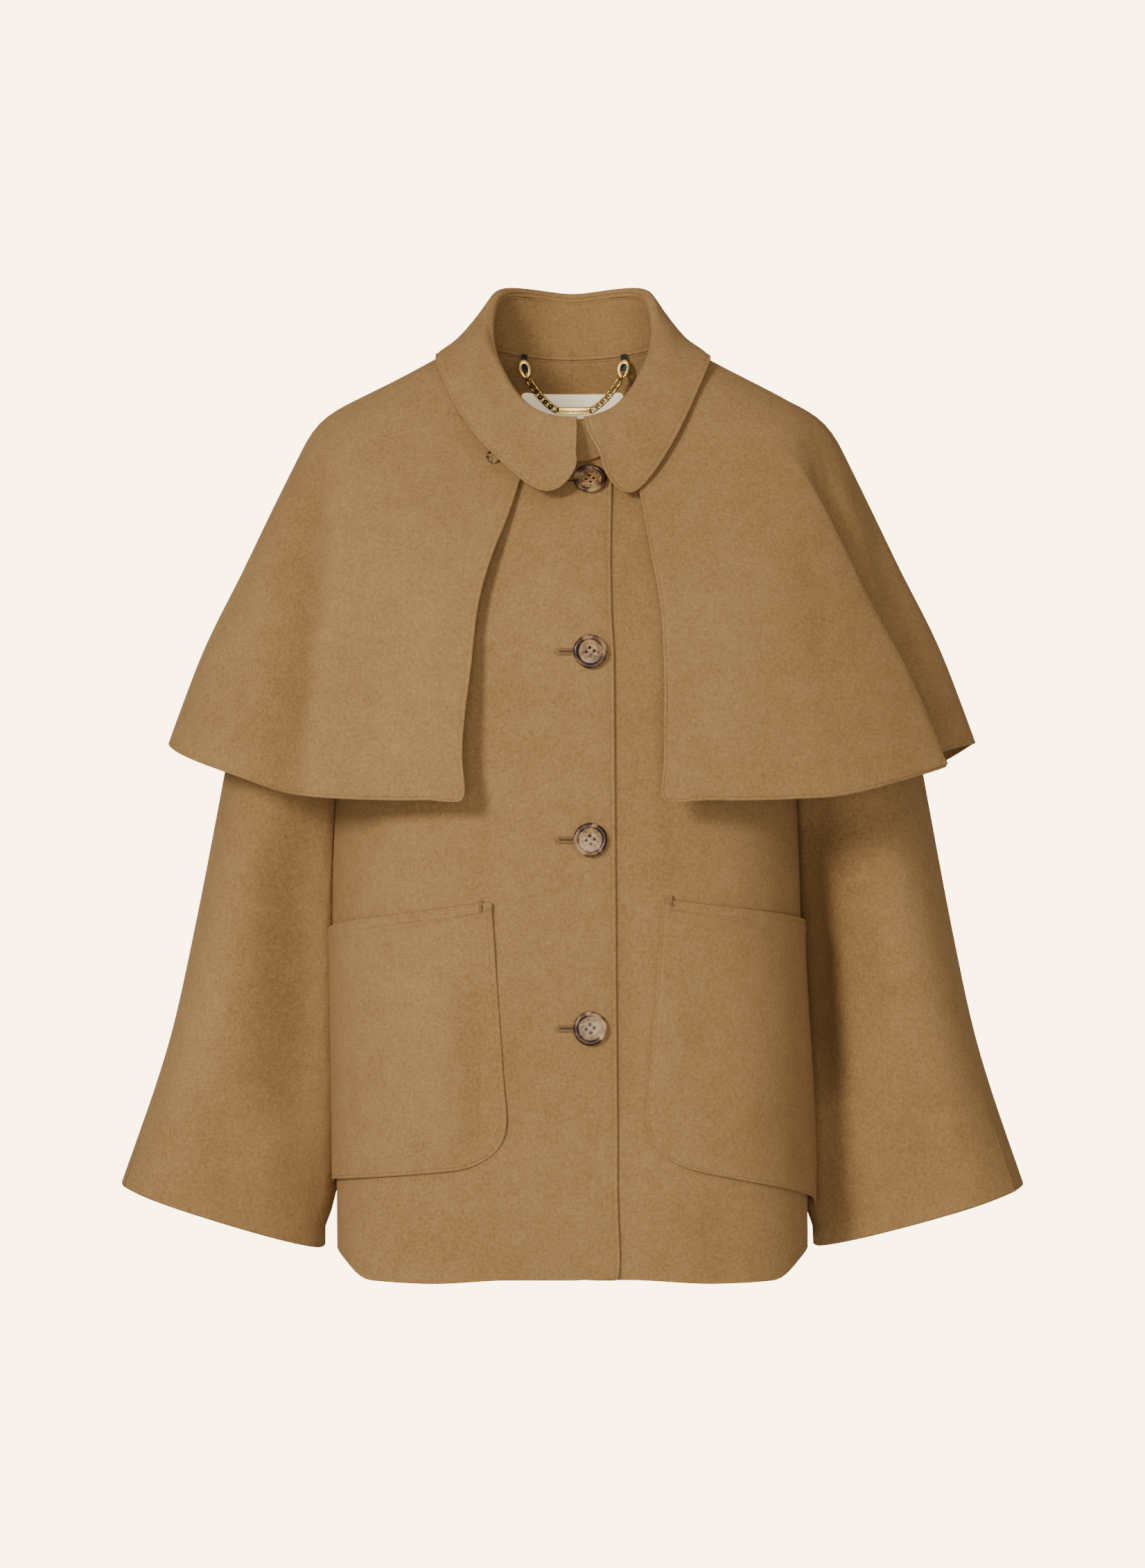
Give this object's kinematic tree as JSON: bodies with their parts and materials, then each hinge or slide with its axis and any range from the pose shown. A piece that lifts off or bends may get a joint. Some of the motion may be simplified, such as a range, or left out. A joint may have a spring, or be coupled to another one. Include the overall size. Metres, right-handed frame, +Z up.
{
  "type": "cape jacket",
  "caption": "Boxy wool jacket with a turned-down collar, a cape over the shoulders, wide sleeves, patch pockets and a button front, worn and hollow, with a hanger chain inside the neck",
  "frame": {"origin": "the middle of the neck opening, level with the foot of the collar at the back, where the wearer's neck and shoulders hold the jacket up", "axes": "+Z up, the front faces -Y, the wearer's right is at -X"},
  "size_m": [0.7057, 0.3394, 0.7608],
  "materials": {
    "felted_wool": "matte",
    "horn": "glossy",
    "pale_gold_metal": "polished",
    "ivory_satin": "satin",
    "black_ribbon": "matte"
  },
  "bodies": {
    "jacket": {"back_left": "felted_wool", "back_right": "felted_wool", "button_1": "horn", "button_2": "horn", "button_3": "horn", "button_4": "horn", "cape_back": "felted_wool", "cape_button_left": "horn", "cape_button_right": "horn", "cape_front_left": "felted_wool", "cape_front_right": "felted_wool", "collar_fall": "felted_wool", "collar_stand": "felted_wool", "flat_ring_left": "pale_gold_metal", "flat_ring_right": "pale_gold_metal", "front_left": "felted_wool", "front_right": "felted_wool", "label": "ivory_satin", "pocket_left": "felted_wool", "pocket_right": "felted_wool", "sleeve_left_back": "felted_wool", "sleeve_left_front": "felted_wool", "sleeve_right_back": "felted_wool", "sleeve_right_front": "felted_wool", "tab_left": "black_ribbon", "tab_right": "black_ribbon"},
    "hanger_chain": {"chain_bar": "pale_gold_metal", "link_left_1": "pale_gold_metal", "link_left_2": "pale_gold_metal", "link_left_3": "pale_gold_metal", "link_left_4": "pale_gold_metal", "link_left_5": "pale_gold_metal", "link_left_6": "pale_gold_metal", "link_right_1": "pale_gold_metal", "link_right_2": "pale_gold_metal", "link_right_3": "pale_gold_metal", "link_right_4": "pale_gold_metal", "link_right_5": "pale_gold_metal", "link_right_6": "pale_gold_metal", "top_ring_left": "pale_gold_metal", "top_ring_right": "pale_gold_metal"}
  },
  "joints": [
    {"name": "hanger_chain_swing", "type": "hinge", "parent": "jacket", "child": "hanger_chain", "pos_m": [0.00125, 0.0535, -0.00955], "axis": [1, 0, 0], "range_deg": [-80, 15]}
  ]
}
